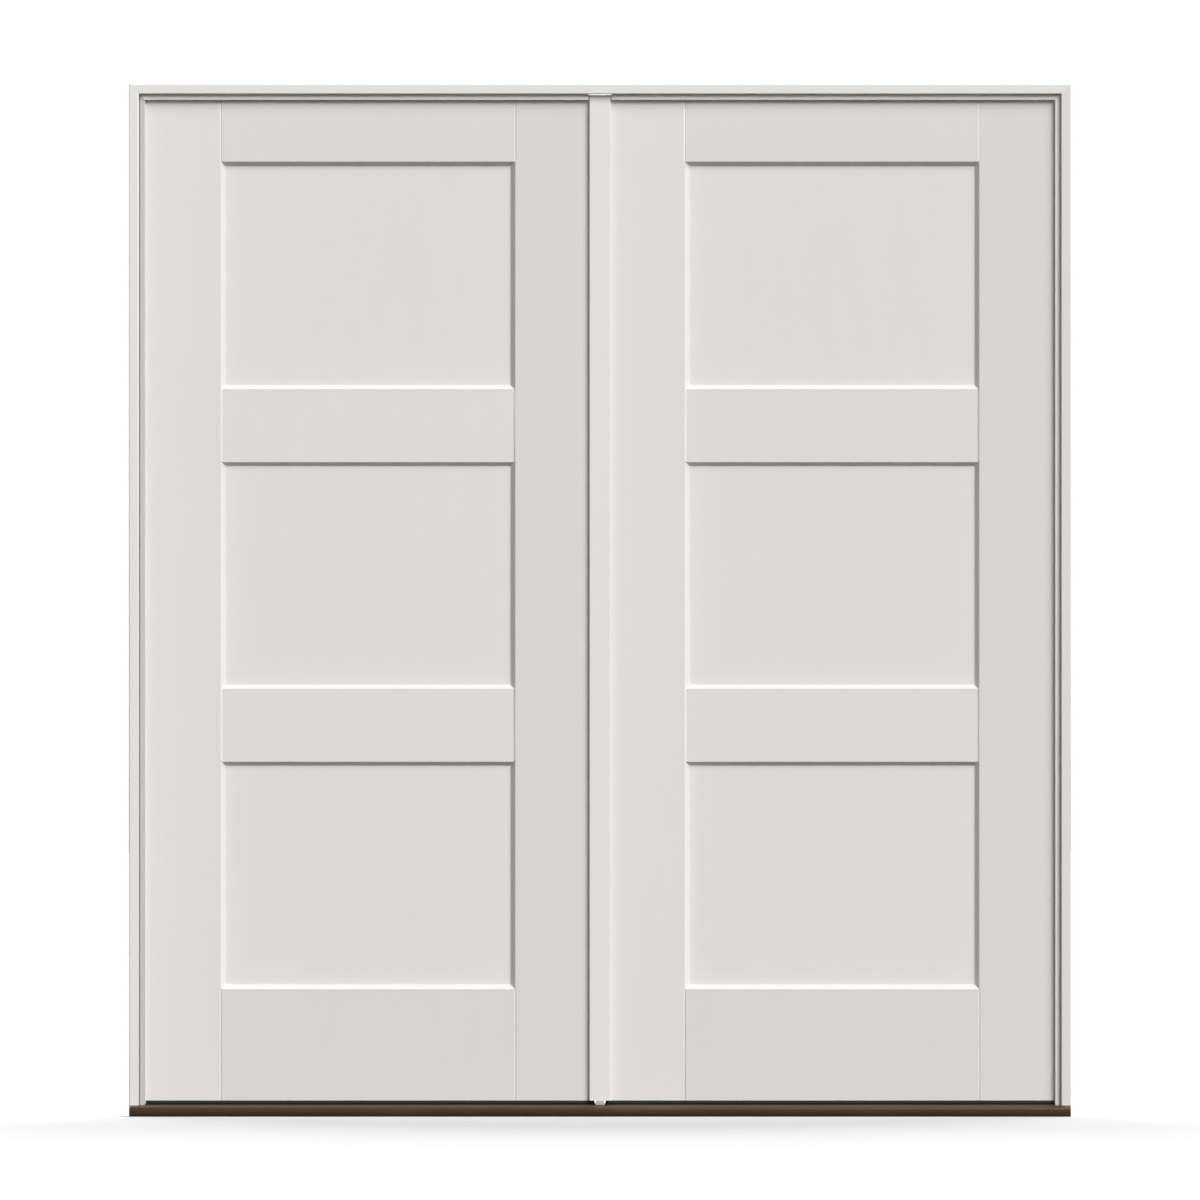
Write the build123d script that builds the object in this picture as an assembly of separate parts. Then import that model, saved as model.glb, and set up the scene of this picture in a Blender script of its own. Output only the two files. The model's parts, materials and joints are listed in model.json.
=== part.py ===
from build123d import *
from math import atan2, cos
import os

# A prehung pair of entry door leaves in their frame, which open inwards. X runs across the doorway,
# -Y is outdoors, +Y is indoors and Z is up. The origin is on the floor, in the middle of the doorway
# and of the jambs' depth. All sizes are in millimetres. The right leaf is the active one, and the
# left leaf carries the astragal.

# Leaves and the gaps round them
leaf_width = 908.0
leaf_height = 2006.0
leaf_thickness = 44.5
side_gap = 3.0
head_gap = 3.0
meeting_gap = 18.0
leaf_lift = 31.0

# Face layout of a leaf
stile_width = 160.0
top_rail = 132.0
mid_rail = 142.0
bottom_rail = 222.0
panel_count = 3
panel_depth = 11.0
panel_bevel = 9.5
rail_drop = 2.2
rail_bevel = 3.5
groove_width = 3.5
groove_depth = 1.2

# Inside of a leaf
skin_wall = 2.0
stile_core = 45.0
top_core = 45.0
bottom_core = 60.0
lock_block_width = 70.0
lock_block_height = 300.0
lock_block_middle = 930.0

# Jambs
jamb_depth = 68.0
jamb_leg = 20.0
stop_width = 12.0
stop_setback = 12.0
quirk_width = 2.5
quirk_depth = 4.0
seal_gap = 3.5
kerf_width = 2.5
kerf_depth = 8.0
outer_radius = 2.0
inner_radius = 2.5
stop_radius = 1.5
notch_clearance = 1.5

# Seals
seal_clearance = 0.3
seal_proud = 1.5
seal_radius = 1.2
barb_thickness = 2.1
pad_height = 50.0
pad_depth = 30.0

# Sill
nose_reach = 30.0
nose_height = 18.0
nose_radius = 4.0
deck_height = 21.5
deck_rise = 1.0
deck_wall = 2.0
channel_floor = 10.0
cap_depth = 42.0
cap_height = 25.0
cap_chamfer = 3.0
cap_end_gap = 0.5
sweep_plate = 2.0
sweep_fin = 1.6
sweep_fins = 4
sweep_inset = 1.5
block_depth = 14.0

# Hinges
hinge_count = 3
hinge_height = 101.6
hinge_plate_width = 38.0
hinge_plate_thickness = 3.0
hinge_top_inset = 178.0
hinge_bottom_inset = 279.0
knuckle_count = 3
knuckle_radius = 6.5
knuckle_gap = 0.3
barrel_clearance = 0.3
pin_radius = 3.0
pin_clearance = 0.05
pin_head_radius = 5.5
pin_head_height = 3.0

# Astragal and its bolts
flange_width = 43.0
flange_thickness = 10.0
flange_radius = 2.0
astragal_wall = 2.0
stem_gap = 4.0
stem_inset = 4.0
stem_seal_inset = 2.0
channel_wall = 2.5
bolt_radius = 4.5
bolt_clearance = 0.1
bolt_length = 210.0
bolt_from_face = 21.5
bolt_inset = 2.0
bolt_throw = 16.0
bolt_chamfer = 1.0
bolt_end_room = 2.0
thumb_width = 4.6
thumb_clearance = 0.25
thumb_height = 30.0
thumb_proud = 1.5
thumb_foot = 12.0
strike_length = 44.0
strike_width = 22.0
strike_thickness = 1.5
strike_clearance = 0.6


# Places worked out from the sizes
front = -jamb_depth / 2
back = jamb_depth / 2
leaf_front = back - leaf_thickness
leaf_middle = (leaf_front + back) / 2
stop_back = leaf_front - seal_gap
stop_front = front + stop_setback
lock_edge = meeting_gap / 2
hinge_edge = lock_edge + leaf_width
rabbet = hinge_edge + side_gap
frame_side = rabbet + jamb_leg
leaf_top = leaf_lift + leaf_height
head_under = leaf_top + head_gap
frame_top = head_under + jamb_leg
stop_under = head_under - stop_width
panel_height = (leaf_height - top_rail - bottom_rail - (panel_count - 1) * mid_rail) / panel_count
panel_feet = [leaf_lift + bottom_rail + index * (panel_height + mid_rail) for index in range(panel_count)]
hinge_x = rabbet - side_gap / 2
hinge_y = back + knuckle_radius + barrel_clearance
hinge_step = (leaf_height - hinge_top_inset - hinge_bottom_inset - hinge_height) / (hinge_count - 1)
hinge_feet = [leaf_lift + hinge_bottom_inset + index * hinge_step for index in range(hinge_count)]
nose_front = front - nose_reach
cap_front = back - cap_depth
flange_edge = flange_width / 2
flange_front = leaf_front - flange_thickness
stem_right = lock_edge - stem_gap
stem_back = back - stem_inset
channel_radius = bolt_radius + bolt_clearance
bolt_x = channel_wall + channel_radius - lock_edge
bolt_y = leaf_front + bolt_from_face
strike_radius = bolt_radius + strike_clearance


def block(x0, x1, y0, y1, z0, z1):
    """A box between two corners."""
    return Pos((x0 + x1) / 2, (y0 + y1) / 2, (z0 + z1) / 2) * Box(x1 - x0, y1 - y0, z1 - z0)


def outline(*points):
    """A flat face inside straight lines."""
    return make_face(Polyline(*points, close=True))


def rounded(face, radius, *corners):
    """The face with the named corners rounded."""
    return fillet([face.vertices().sort_by_distance(corner)[0] for corner in corners], radius)


def upright(face, z0, z1):
    """A prism on a plan, from one height to another."""
    return Pos(0, 0, z0) * extrude(face, amount=z1 - z0)


def across(face, x0, x1):
    """A prism on a side view drawn in Y and Z, from one X to another."""
    return Pos(x0, 0, 0) * extrude(Plane.YZ * face, amount=x1 - x0)


def mirrored(shape):
    """The same shape on the other side of the doorway."""
    return mirror(shape, about=Plane.YZ)


def spread(low, high, count):
    """Evenly spaced places, the ends included."""
    return [low + index * (high - low) / (count - 1) for index in range(count)]


# Frame: every length of it has one section, drawn from the rabbet's face towards the doorway

def head_plane(x):
    """The plane in which the head's section lies, with the doorway below."""
    return Plane(origin=(x, 0, head_under), x_dir=(0, 0, -1), z_dir=(1, 0, 0))


def jamb_section():
    """A leg with its stop, the quirk that sets the stop off from the face, and the kerf for the seal."""
    kerf_back = stop_back + kerf_width
    quirk_back = stop_front + quirk_depth
    face = outline(
        (-jamb_leg, front), (0, front), (0, quirk_back), (quirk_width, quirk_back),
        (quirk_width, stop_front), (stop_width, stop_front), (stop_width, stop_back), (-kerf_depth, stop_back),
        (-kerf_depth, kerf_back), (0, kerf_back), (0, back), (-jamb_leg, back),
    )
    face = rounded(face, outer_radius, (-jamb_leg, front))
    face = rounded(face, inner_radius, (0, front))
    return rounded(face, stop_radius, (stop_width, stop_front), (stop_width, stop_back))


def seal_section():
    """A foam seal behind the stop, with a barb in the kerf."""
    tip = stop_width + seal_proud
    seal_back = leaf_front - seal_clearance
    bulb = outline((0, stop_back), (tip, stop_back), (tip, seal_back), (0, seal_back))
    bulb = rounded(bulb, seal_radius, (tip, stop_back), (tip, seal_back), (0, seal_back))
    barb = outline(
        (-kerf_depth, stop_back), (seal_radius, stop_back),
        (seal_radius, stop_back + barb_thickness), (-kerf_depth, stop_back + barb_thickness),
    )
    return bulb + barb


def sill_section():
    """The outside of the sill from the side, drawn down past the floor by the deck's wall."""
    rear = deck_height + deck_rise
    face = outline(
        (nose_front, -deck_wall), (nose_front, nose_height), (front, deck_height), (cap_front, rear),
        (cap_front, channel_floor), (back, channel_floor), (back, -deck_wall),
    )
    return rounded(face, nose_radius, (nose_front, nose_height))


def sill_envelope():
    """All that the sill takes up, over the full width of the frame."""
    return across(sill_section(), -frame_side, frame_side)


def strike_blank(z0):
    """The outside of a strike plate, which is also its pocket."""
    half_x = strike_length / 2
    half_y = strike_width / 2
    return block(bolt_x - half_x, bolt_x + half_x, bolt_y - half_y, bolt_y + half_y, z0, z0 + strike_thickness)


def strike_hole(z0, z1):
    """The hole that a flush bolt slides into."""
    return Pos(bolt_x, bolt_y, (z0 + z1) / 2) * Cylinder(strike_radius, z1 - z0)


def head_hole():
    """The bolt's hole in the head, deep enough for its throw."""
    reach = leaf_top - bolt_inset + bolt_throw + bolt_end_room
    return strike_hole(head_under, reach)


def make_strikes():
    """The two strike plates, let in flush."""
    cap_plate = cap_height - strike_thickness
    return {
        "head_strike": strike_blank(head_under) - strike_hole(head_under, frame_top),
        "sill_strike": strike_blank(cap_plate) - strike_hole(channel_floor, cap_height),
    }


def make_sill():
    """Deck, substrate and threshold cap."""
    section = sill_section()
    inside = offset(section, -deck_wall, kind=Kind.INTERSECTION)
    floor = block(-frame_side, frame_side, nose_front, back, -2 * deck_wall, 0)
    deck = across(section - inside, -frame_side, frame_side) - floor
    substrate = across(inside, -frame_side, frame_side) - floor
    shoulder = cap_height - cap_chamfer
    cap_face = outline(
        (cap_front, channel_floor), (cap_front, shoulder), (cap_front + cap_chamfer, cap_height),
        (back - cap_chamfer, cap_height), (back, shoulder), (back, channel_floor),
    )
    cap_end = rabbet - cap_end_gap
    cap = across(cap_face, -cap_end, cap_end)
    cap -= strike_blank(cap_height - strike_thickness)
    cap -= strike_hole(channel_floor, cap_height)
    return {
        "sill_deck": deck,
        "sill_substrate": substrate,
        "threshold_cap": cap,
    }


def mitre_wedge(side):
    """What a mitre takes off the jamb with side -1, or off the head with side 1, at the right corner."""
    reach = 2 * jamb_leg
    corner = (rabbet + side * reach, head_under - side * reach)
    face = outline((rabbet - reach, head_under - reach), (rabbet + reach, head_under + reach), corner)
    return extrude(Plane.XZ * face, amount=jamb_depth, both=True)


def make_jamb():
    """The right jamb: a leg mitred into the head, notched over the sill and let in for the hinges."""
    leg = Pos(rabbet, 0, 0) * mirrored(upright(jamb_section(), 0, frame_top))
    leg -= mitre_wedge(-1)
    leg -= sill_envelope()
    for foot in hinge_feet:
        leg -= hinge_place(foot) * hinge_blank()
    return leg


def make_head():
    """The head jamb, mitred at both ends and notched where the astragal stands in front of the leaves."""
    head = extrude(head_plane(-frame_side) * jamb_section(), amount=2 * frame_side)
    wedge = mitre_wedge(1)
    head -= wedge
    head -= mirrored(wedge)
    half_notch = flange_edge + notch_clearance
    head -= block(-half_notch, half_notch, front, stop_back, stop_under, head_under)
    head -= strike_blank(head_under)
    head -= head_hole()
    return head


def make_seals():
    """Kerf seals on three sides, the pads at the jambs' feet and the block under the astragal."""
    foot = cap_height
    side = Pos(rabbet, 0, 0) * mirrored(upright(seal_section(), foot, stop_under - seal_proud))
    start = flange_edge + notch_clearance
    top = extrude(head_plane(start) * seal_section(), amount=rabbet - start)
    pad_face = rabbet - side_gap + seal_clearance
    half_pad = pad_depth / 2
    pad = block(pad_face, rabbet, leaf_middle - half_pad, leaf_middle + half_pad, foot, foot + pad_height)
    block_top = leaf_lift - seal_clearance
    seal_block = block(-lock_edge, lock_edge, cap_front - block_depth, cap_front, channel_floor, block_top)
    return {
        "weatherstrip_right": side,
        "weatherstrip_left": mirrored(side),
        "weatherstrip_head": Compound([top, mirrored(top)]),
        "corner_pads": Compound([pad, mirrored(pad)]),
        "astragal_seal_block": seal_block - sill_envelope(),
    }


# Hinges: drawn with the pin's axis at the origin, the foot at zero and the jamb's plate at +X

def hinge_place(foot):
    """Where a right-hand hinge stands."""
    return Pos(hinge_x, hinge_y, foot)


def hinge_blank():
    """A hinge plate without knuckles, which is also its mortise."""
    near = back - hinge_y
    far = near - hinge_plate_width
    return block(side_gap / 2, side_gap / 2 + hinge_plate_thickness, far, near, 0, hinge_height)


def hinge_plate(first):
    """A plate with every second knuckle, from the first one named."""
    plate = hinge_blank()
    pitch = hinge_height / knuckle_count
    for index in range(first, knuckle_count, 2):
        low = index * pitch + knuckle_gap / 2
        high = (index + 1) * pitch - knuckle_gap / 2
        tab = block(side_gap / 2, side_gap / 2 + hinge_plate_thickness, back - hinge_y, -pin_radius, low, high)
        plate += tab + Pos(0, 0, (low + high) / 2) * Cylinder(knuckle_radius, high - low)
    return plate - Pos(0, 0, hinge_height / 2) * Cylinder(pin_radius + pin_clearance, hinge_height)


def hinge_pin():
    """A pin with a button head on the top knuckle."""
    low = knuckle_gap / 2
    high = hinge_height - knuckle_gap / 2
    shaft = Pos(0, 0, (low + high) / 2) * Cylinder(pin_radius, high - low)
    return shaft + Pos(0, 0, high + pin_head_height / 2) * Cylinder(pin_head_radius, pin_head_height)


def make_hinges():
    """Six hinges: plates on the jambs and on the leaves, and their pins."""
    jamb_plate = hinge_plate(0)
    leaf_plate = mirrored(hinge_plate(1))
    right = {"right_hinge_pins": Compound([hinge_place(foot) * hinge_pin() for foot in hinge_feet])}
    for number, foot in enumerate(hinge_feet, 1):
        right[f"right_hinge_{number}_jamb_plate"] = hinge_place(foot) * jamb_plate
        right[f"right_hinge_{number}_leaf_plate"] = hinge_place(foot) * leaf_plate
    return right | {name.replace("right", "left"): mirrored(shape) for name, shape in right.items()}


# Leaves: the right one is drawn and the left one is its mirror image

def flat_rectangle(x0, x1, z0, z1, y):
    """A rectangle that faces indoors, at one depth."""
    plane = Plane(origin=((x0 + x1) / 2, y, (z0 + z1) / 2), x_dir=(1, 0, 0), z_dir=(0, 1, 0))
    return plane * Rectangle(x1 - x0, z1 - z0)


def panel_pocket(z0, z1, grow, deepen):
    """A sunk panel with mitred bevels, and the same pocket made wider and deeper by a wall."""
    depth = panel_depth + deepen
    inset = panel_bevel / panel_depth * depth - grow
    x0 = lock_edge + stile_width
    x1 = hinge_edge - stile_width
    mouth = flat_rectangle(x0 - grow, x1 + grow, z0 - grow, z1 + grow, leaf_front)
    floor = flat_rectangle(x0 + inset, x1 - inset, z0 + inset, z1 - inset, leaf_front + depth)
    return loft([mouth, floor], ruled=True)


def rail_pocket(z0, z1, grow, deepen):
    """The slight drop of a middle rail between its stiles, run into the panels above and below."""
    depth = rail_drop + deepen
    inset = rail_bevel / rail_drop * depth - grow
    x0 = lock_edge + stile_width
    x1 = hinge_edge - stile_width
    floor = leaf_front + depth
    face = outline((x0 - grow, leaf_front), (x1 + grow, leaf_front), (x1 - inset, floor), (x0 + inset, floor))
    return upright(face, z0 - panel_bevel / 2, z1 + panel_bevel / 2)


def face_pockets(wall=0.0):
    """All that is sunk into one face of a leaf. A wall gives the back of the skin behind it."""
    panel_grow = wall / cos(atan2(panel_bevel, panel_depth))
    rail_grow = wall / cos(atan2(rail_bevel, rail_drop))
    pockets = [panel_pocket(foot, foot + panel_height, panel_grow, wall) for foot in panel_feet]
    for foot in panel_feet[:-1]:
        low = foot + panel_height
        pockets.append(rail_pocket(low, low + mid_rail, rail_grow, wall))
    return pockets


def grooves():
    """Fine V-grooves where the top and bottom rails meet the stiles."""
    half = groove_width / 2
    spans = [(leaf_lift, panel_feet[0]), (panel_feet[-1] + panel_height, leaf_top)]
    cuts = []
    for x in (lock_edge + stile_width, hinge_edge - stile_width):
        face = outline((x - half, leaf_front), (x + half, leaf_front), (x, leaf_front + groove_depth))
        cuts += [upright(face, low, high) for low, high in spans]
    return cuts


def make_skin():
    """The moulded exterior skin of the right leaf."""
    sheet = block(lock_edge, hinge_edge, leaf_front, leaf_front + skin_wall, leaf_lift, leaf_top)
    return sheet + face_pockets(skin_wall) - face_pockets() - grooves()


def other_face(shape):
    """The same shape on the indoor face of the leaf."""
    return mirror(shape, about=Plane(origin=(0, leaf_middle, 0), z_dir=(0, 1, 0)))


def hinge_mortises():
    """What the leaf loses to its hinge plates."""
    return [hinge_place(foot) * mirrored(hinge_blank()) for foot in hinge_feet]


def make_sweep():
    """A finned sweep under the leaf, just clear of the threshold cap."""
    y0 = leaf_front + sweep_inset
    y1 = back - sweep_inset
    plate_under = leaf_lift - sweep_plate
    fin_foot = cap_height + seal_clearance
    face = outline((y0, plate_under), (y1, plate_under), (y1, leaf_lift), (y0, leaf_lift))
    for y in spread(y0, y1 - sweep_fin, sweep_fins):
        face += outline((y, fin_foot), (y + sweep_fin, fin_foot), (y + sweep_fin, leaf_lift), (y, leaf_lift))
    return across(face, lock_edge + sweep_inset, hinge_edge - sweep_inset)


def make_leaf():
    """The pieces of the right leaf, from the skins to the core between them."""
    inner_front = leaf_front + skin_wall
    inner_back = back - skin_wall
    core_lock = lock_edge + stile_core
    core_hinge = hinge_edge - stile_core
    core_low = leaf_lift + bottom_core
    core_high = leaf_top - top_core
    block_low = leaf_lift + lock_block_middle - lock_block_height / 2
    skin = make_skin()
    behind = face_pockets(skin_wall)
    lock_block = block(
        core_lock, core_lock + lock_block_width, inner_front, inner_back, block_low, block_low + lock_block_height
    )
    foam = block(core_lock, core_hinge, inner_front, inner_back, core_low, core_high)
    foam -= behind
    foam -= [other_face(one) for one in behind]
    foam -= lock_block
    return {
        "exterior_skin": skin,
        "interior_skin": other_face(skin) - hinge_mortises(),
        "hinge_stile": block(core_hinge, hinge_edge, inner_front, inner_back, leaf_lift, leaf_top) - hinge_mortises(),
        "lock_stile": block(lock_edge, core_lock, inner_front, inner_back, leaf_lift, leaf_top),
        "top_rail": block(core_lock, core_hinge, inner_front, inner_back, core_high, leaf_top),
        "bottom_rail": block(core_lock, core_hinge, inner_front, inner_back, leaf_lift, core_low),
        "lock_block": lock_block,
        "foam_core": foam,
        "bottom_sweep": make_sweep(),
    }


# Astragal: an extrusion on the left leaf, with a keyhole channel in which the bolts slide

def channel_plan(radius, half_neck):
    """A round channel with a neck that opens on the stem's side."""
    neck = outline(
        (bolt_x, bolt_y - half_neck), (stem_right, bolt_y - half_neck),
        (stem_right, bolt_y + half_neck), (bolt_x, bolt_y + half_neck),
    )
    return Pos(bolt_x, bolt_y) * Circle(radius) + neck


def make_astragal():
    """A hollow T, closed round the bolt channel."""
    face = outline(
        (-flange_edge, flange_front), (flange_edge, flange_front), (flange_edge, stop_back),
        (stem_right, stop_back), (stem_right, stem_back), (-lock_edge, stem_back),
        (-lock_edge, leaf_front), (-flange_edge, leaf_front),
    )
    hollow = offset(face, -astragal_wall, kind=Kind.INTERSECTION)
    face = rounded(face, flange_radius, (-flange_edge, flange_front), (flange_edge, flange_front))
    half_neck = thumb_width / 2 + thumb_clearance
    hollow -= channel_plan(channel_radius + astragal_wall, half_neck + astragal_wall)
    section = face - hollow - channel_plan(channel_radius, half_neck)
    return upright(section, leaf_lift, leaf_top)


def make_astragal_seal():
    """The foam seal between the flange and the right leaf."""
    x0 = lock_edge
    x1 = flange_edge - stem_seal_inset
    seal_back = leaf_front - seal_clearance
    face = outline((x0, stop_back), (x1, stop_back), (x1, seal_back), (x0, seal_back))
    face = rounded(face, seal_radius, (x0, seal_back), (x1, seal_back))
    return upright(face, leaf_lift, leaf_top)


def flush_bolt():
    """A bolt that points up, with its tip at zero and a thumb piece near its other end."""
    rod = Pos(0, 0, -bolt_length / 2) * Cylinder(bolt_radius, bolt_length)
    rod = chamfer(rod.edges().group_by(Axis.Z)[-1], bolt_chamfer)
    reach = stem_right + thumb_proud - bolt_x
    foot = thumb_foot - bolt_length
    return rod + block(0, reach, -thumb_width / 2, thumb_width / 2, foot, foot + thumb_height)


def make_meeting():
    """What the left leaf carries over the gap between the leaves."""
    bolt = flush_bolt()
    return {
        "astragal": make_astragal(),
        "astragal_weatherstrip": make_astragal_seal(),
        "top_flush_bolt": Pos(bolt_x, bolt_y, leaf_top - bolt_inset) * bolt,
        "bottom_flush_bolt": Pos(bolt_x, bolt_y, leaf_lift + bolt_inset) * mirror(bolt, about=Plane.XY),
    }


def main():
    """Build every piece and write one file for each."""
    jamb = make_jamb()
    leaf = make_leaf()
    parts = {"jamb_right": jamb, "jamb_left": mirrored(jamb), "head_jamb": make_head()}
    parts |= make_sill() | make_strikes() | make_seals() | make_hinges() | make_meeting()
    parts |= {f"active_{name}": shape for name, shape in leaf.items()}
    parts |= {f"passive_{name}": mirrored(shape) for name, shape in leaf.items()}
    os.makedirs("parts", exist_ok=True)
    for name, shape in parts.items():
        export_step(shape, f"parts/{name}.step")


main()
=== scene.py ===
"""The looks of a double entry door: softened edges, finishes, screws, the camera and the light.

X runs across the doorway, -Y is outdoors and Z is up, in metres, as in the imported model.
"""

import json
import logging
import math
from dataclasses import dataclass, field
from enum import Enum
from typing import Any, Callable, Sequence, Union

import bpy
from mathutils import Matrix, Vector

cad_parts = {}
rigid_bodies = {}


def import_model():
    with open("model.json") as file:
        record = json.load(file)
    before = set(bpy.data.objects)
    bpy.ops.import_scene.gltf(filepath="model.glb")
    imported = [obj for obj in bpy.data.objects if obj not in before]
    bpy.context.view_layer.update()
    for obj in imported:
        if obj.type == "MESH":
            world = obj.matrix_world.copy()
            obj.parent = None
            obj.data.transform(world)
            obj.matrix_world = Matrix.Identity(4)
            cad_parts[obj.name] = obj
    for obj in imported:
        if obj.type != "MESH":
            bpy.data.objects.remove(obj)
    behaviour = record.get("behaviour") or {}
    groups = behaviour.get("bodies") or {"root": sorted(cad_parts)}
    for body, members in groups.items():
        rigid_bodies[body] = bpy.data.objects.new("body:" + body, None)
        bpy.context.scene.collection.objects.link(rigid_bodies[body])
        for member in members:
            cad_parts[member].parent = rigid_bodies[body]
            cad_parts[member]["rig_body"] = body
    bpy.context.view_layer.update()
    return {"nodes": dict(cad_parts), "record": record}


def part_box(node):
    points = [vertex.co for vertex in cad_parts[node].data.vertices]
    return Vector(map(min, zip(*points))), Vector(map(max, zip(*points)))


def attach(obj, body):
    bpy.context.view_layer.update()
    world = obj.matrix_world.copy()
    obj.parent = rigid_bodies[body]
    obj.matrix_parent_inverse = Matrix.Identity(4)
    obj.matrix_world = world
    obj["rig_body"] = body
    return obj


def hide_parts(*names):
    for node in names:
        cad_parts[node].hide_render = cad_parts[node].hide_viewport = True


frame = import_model()

log = logging.getLogger("door")
Colour = tuple[float, float, float]
Point = tuple[float, float, float]
MM = 0.001


def paint(red: int, green: int, blue: int) -> Colour:
    """Turn a colour as a screen shows it into the linear one that a shader takes.

    Args:
        red: Red, from 0 to 255.
        green: Green, from 0 to 255.
        blue: Blue, from 0 to 255.

    Returns:
        The linear colour.
    """
    shares = [channel / 255 for channel in (red, green, blue)]
    return tuple(s / 12.92 if s <= 0.04045 else ((s + 0.055) / 1.055) ** 2.4 for s in shares)


# Shader graphs

class Signal:
    """One output of a node, which takes part in sums as a number does."""

    def __init__(self, graph: "Graph", socket: bpy.types.NodeSocket) -> None:
        """Keep the socket and the graph that it belongs to."""
        self.graph = graph
        self.socket = socket

    def _sum(self, operation: str, first: Any, second: Any) -> "Signal":
        """Add one Math node for two values."""
        return self.graph.node("ShaderNodeMath", {"operation": operation}, {0: first, 1: second})

    def __add__(self, other: Any) -> "Signal":
        """This plus another value."""
        return self._sum("ADD", self, other)

    def __radd__(self, other: Any) -> "Signal":
        """Another value plus this."""
        return self._sum("ADD", other, self)

    def __sub__(self, other: Any) -> "Signal":
        """This less another value."""
        return self._sum("SUBTRACT", self, other)

    def __rsub__(self, other: Any) -> "Signal":
        """Another value less this."""
        return self._sum("SUBTRACT", other, self)

    def __mul__(self, other: Any) -> "Signal":
        """This times another value."""
        return self._sum("MULTIPLY", self, other)

    def __gt__(self, other: Any) -> "Signal":
        """1 where this is the greater, and 0 elsewhere."""
        return self._sum("GREATER_THAN", self, other)

    def __lt__(self, other: Any) -> "Signal":
        """1 where this is the smaller, and 0 elsewhere."""
        return self._sum("LESS_THAN", self, other)


Value = Union[Signal, float, Sequence[float]]


class Graph:
    """The nodes of one material or of the world."""

    def __init__(self, tree: bpy.types.NodeTree) -> None:
        """Start from an empty tree."""
        self.tree = tree
        tree.nodes.clear()

    def feed(self, socket: bpy.types.NodeSocket, value: Value) -> None:
        """Link or set one input.

        Args:
            socket: The input.
            value: A signal to link, or a number or colour to set.
        """
        if isinstance(value, Signal):
            self.tree.links.new(value.socket, socket)
        elif socket.type == "RGBA":
            socket.default_value = (*value, 1.0)
        else:
            socket.default_value = value

    def node(self, kind: str, settings: dict[str, Any], inputs: dict[Any, Value], out: Any = 0) -> Signal:
        """Add any node.

        Args:
            kind: The node's type.
            settings: Its own settings, set first. "stops" holds a ramp's places and colours.
            inputs: Values or signals by the input's name or number.
            out: The name or number of the output that is wanted.

        Returns:
            That output.
        """
        made = self.tree.nodes.new(kind)
        for name, value in settings.items():
            if name == "stops":
                self._stops(made.color_ramp, value)
            else:
                setattr(made, name, value)
        for key, value in inputs.items():
            self.feed(made.inputs[key], value)
        return Signal(self, made.outputs[out])

    @staticmethod
    def _stops(ramp: bpy.types.ColorRamp, stops: Sequence[tuple[float, float]]) -> None:
        """Give a ramp its places and grey levels.

        Args:
            ramp: The ramp.
            stops: The place and the level of each stop.
        """
        while len(ramp.elements) < len(stops):
            ramp.elements.new(1.0)
        for element, (place, level) in zip(ramp.elements, stops):
            element.position = place
            element.color = (level, level, level, 1.0)

    def place(self, stretch: Point = (1.0, 1.0, 1.0)) -> Signal:
        """Object coordinates, stretched for a pattern."""
        coordinates = self.node("ShaderNodeTexCoord", {}, {}, "Object")
        return self.node("ShaderNodeMapping", {}, {"Vector": coordinates, "Scale": stretch})

    def axis(self, name: str) -> Signal:
        """One object coordinate by its letter."""
        coordinates = self.node("ShaderNodeTexCoord", {}, {}, "Object")
        return self.node("ShaderNodeSeparateXYZ", {}, {"Vector": coordinates}, name)

    def noise(self, place: Signal, scale: float, detail: float = 3.0) -> Signal:
        """Even noise from 0 to 1 at a scale."""
        return self.node("ShaderNodeTexNoise", {}, {"Vector": place, "Scale": scale, "Detail": detail})

    def most(self, first: Value, second: Value) -> Signal:
        """The greater of two values."""
        return self.node("ShaderNodeMath", {"operation": "MAXIMUM"}, {0: first, 1: second})

    def ramp(self, signal: Signal, *stops: tuple[float, float]) -> Signal:
        """Spread a signal over grey levels."""
        return self.node("ShaderNodeValToRGB", {"stops": stops}, {"Fac": signal})

    def blend(self, mask: Value, first: Value, second: Value) -> Signal:
        """Mix two colours by a mask."""
        return self.node("ShaderNodeMix", {"data_type": "RGBA"}, {0: mask, 6: first, 7: second}, 2)

    def shaded(self, colour: Value, factor: Value) -> Signal:
        """A colour made lighter or darker by a factor."""
        return self.node("ShaderNodeVectorMath", {"operation": "SCALE"}, {0: colour, "Scale": factor})

    def relief(self, height: Signal, depth: float, strength: float = 1.0) -> Signal:
        """The normal of a surface with fine relief of a depth in metres."""
        return self.node("ShaderNodeBump", {}, {"Height": height, "Distance": depth, "Strength": strength})

    def shown(self) -> Signal:
        """Tell the rays that see the white surroundings from those that only carry light.

        Returns:
            1 for a ray from the camera, off metal or through glass, and 0 for the rest.
        """
        camera, glossy, through = (
            self.node("ShaderNodeLightPath", {}, {}, f"Is {kind} Ray")
            for kind in ("Camera", "Glossy", "Transmission")
        )
        settings = {"operation": "ADD", "use_clamp": True}
        return self.node("ShaderNodeMath", settings, {0: camera, 1: glossy + through})

    def surface(self, inputs: dict[str, Value]) -> None:
        """Finish a material with one principled shader."""
        shader = self.node("ShaderNodeBsdfPrincipled", {}, inputs)
        self.close(shader)

    def close(self, shader: Signal) -> None:
        """Join a shader to the material's output."""
        output = self.tree.nodes.new("ShaderNodeOutputMaterial")
        self.feed(output.inputs["Surface"], shader)


# Finishes

class Run(Enum):
    """The way in which a piece's grain or brushing runs."""

    ACROSS = "across"
    UPRIGHT = "upright"

    def stretch(self, along: float, cross: float) -> Point:
        """The pattern's scale on each axis, with one value along the run and one across it."""
        return (along, cross, cross) if self is Run.ACROSS else (cross, cross, along)


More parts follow.
